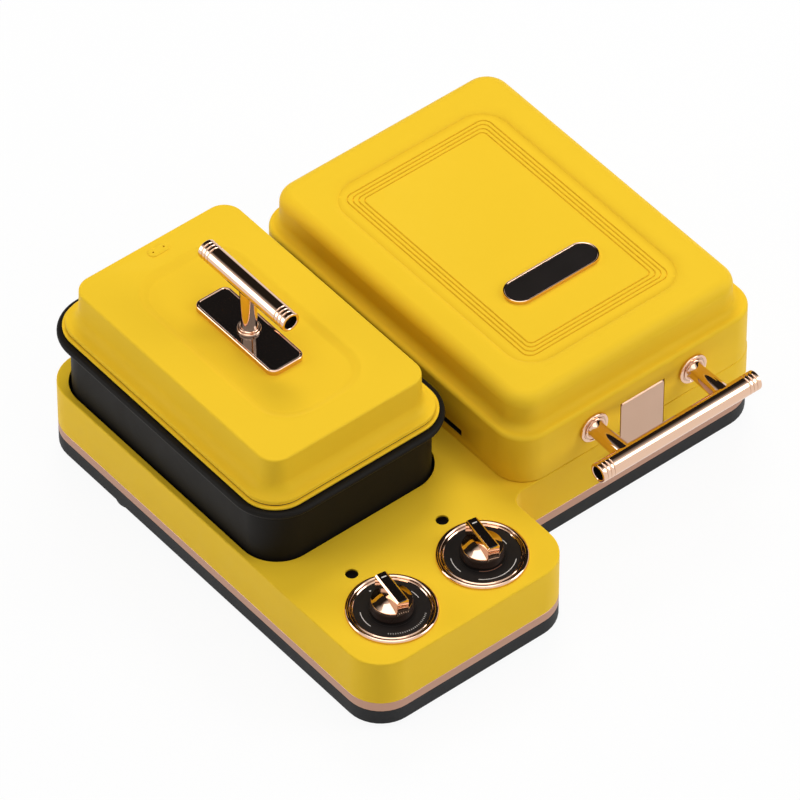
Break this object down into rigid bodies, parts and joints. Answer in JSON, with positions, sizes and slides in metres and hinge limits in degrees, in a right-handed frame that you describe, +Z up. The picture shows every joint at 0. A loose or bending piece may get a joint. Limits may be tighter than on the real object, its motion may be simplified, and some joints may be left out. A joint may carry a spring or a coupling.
{
  "type": "electric omelette maker",
  "caption": "Low L-shaped electric cooker with a lidded lift-out pot on one side and a hinged press with a bar handle on the other, dials in front.",
  "frame": {"origin": "bottom centre of the bounding box, level with the soles of the feet", "axes": "+X runs along the front from the pot to the press, +Y runs to the back, +Z is up"},
  "size_m": [0.3328, 0.305, 0.1668],
  "materials": {
    "yellow_shell": "satin yellow paint",
    "copper_band": "satin copper-coloured paint",
    "dark_shell": "matte dark grey",
    "foot_rubber": "matte",
    "rose_gold": "polished rose gold",
    "latch_metal": "satin rose gold",
    "black_gloss": "glossy black",
    "brown_gloss": "glossy dark brown",
    "lamp_dark": "dark lens",
    "coated_cast": "matte non-stick coating",
    "cast_alloy": "cast",
    "pot_coat": "matte dark coating",
    "steel": "bright steel",
    "element_steel": "dark sheath",
    "seal_rubber": "dark seal",
    "liner_plastic": "matte black",
    "control_body": "moulded",
    "board_green": "circuit board",
    "terminal_white": "moulded"
  },
  "bodies": {
    "base": {"upper_housing": "yellow_shell", "trim_band": "copper_band", "bottom_shell": "dark_shell", "feet": "foot_rubber", "base_screws": "steel", "well_liner": "steel", "pot_hotplate": "cast_alloy", "pot_element": "element_steel", "probe_sleeve": "steel", "probe_spring": "steel", "lower_plate": "coated_cast", "lower_element": "element_steel", "lower_reflector": "steel", "lower_plate_screws": "steel", "hinge_ears": "yellow_shell", "hinge_pins": "steel", "latch_keeper": "steel", "left_dial_ring": "rose_gold", "right_dial_ring": "rose_gold", "left_dial_plate": "black_gloss", "right_dial_plate": "black_gloss", "thermostat": "control_body", "timer": "control_body", "left_lamp_lens": "lamp_dark", "right_lamp_lens": "lamp_dark", "lamp_board": "board_green", "terminal_block": "terminal_white", "cord_gland": "foot_rubber"},
    "probe": {"probe_plunger": "steel"},
    "press_lid": {"press_shell": "yellow_shell", "press_liner": "liner_plastic", "upper_plate": "coated_cast", "upper_element": "element_steel", "upper_reflector": "steel", "liner_screws": "steel", "hinge_arms": "yellow_shell", "handle_posts": "rose_gold", "handle_bar": "rose_gold", "badge_rim": "rose_gold", "badge_face": "black_gloss", "latch_pin": "steel"},
    "latch": {"latch_plate": "latch_metal"},
    "left_knob": {"left_shaft": "steel", "left_skirt": "brown_gloss", "left_cap": "rose_gold", "left_inlay": "black_gloss"},
    "right_knob": {"right_shaft": "steel", "right_skirt": "brown_gloss", "right_cap": "rose_gold", "right_inlay": "black_gloss"},
    "pot": {"pot": "pot_coat"},
    "pot_lid": {"pot_lid_shell": "yellow_shell", "pot_lid_seal": "seal_rubber", "pot_lid_rim": "yellow_shell", "steam_vent": "yellow_shell", "handle_plate_rim": "rose_gold", "handle_plate": "black_gloss", "lid_handle_post": "rose_gold", "lid_handle_bar": "rose_gold", "lid_handle_screw": "steel"}
  },
  "joints": [
    {"name": "press_hinge", "type": "hinge", "parent": "base", "child": "press_lid", "pos_m": [0.07455, 0.1447, 0.058], "axis": [-1, 0, 0], "range_deg": [0, 95]},
    {"name": "latch_swing", "type": "hinge", "parent": "press_lid", "child": "latch", "pos_m": [0.07595, -0.0931, 0.0721], "axis": [-1, 0, 0], "range_deg": [0, 30]},
    {"name": "left_knob_turn", "type": "hinge", "parent": "base", "child": "left_knob", "pos_m": [-0.12545, -0.1193, 0.06], "axis": [0, 0, 1], "range_deg": [-270, 0]},
    {"name": "right_knob_turn", "type": "hinge", "parent": "base", "child": "right_knob", "pos_m": [-0.06075, -0.1193, 0.06], "axis": [0, 0, 1], "range_deg": [-270, 0]},
    {"name": "pot_lift", "type": "slide", "parent": "base", "child": "pot", "axis": [0, 0, 1], "range_m": [0, 0.1]},
    {"name": "pot_lid_lift", "type": "slide", "parent": "pot", "child": "pot_lid", "axis": [0, 0, 1], "range_m": [0, 0.08]},
    {"name": "probe_press", "type": "slide", "parent": "base", "child": "probe", "axis": [0, 0, 1], "range_m": [-0.002, 0], "stiffness_N_per_m": 200, "springref_m": 0.001, "deforming": ["probe_spring"]}
  ]
}
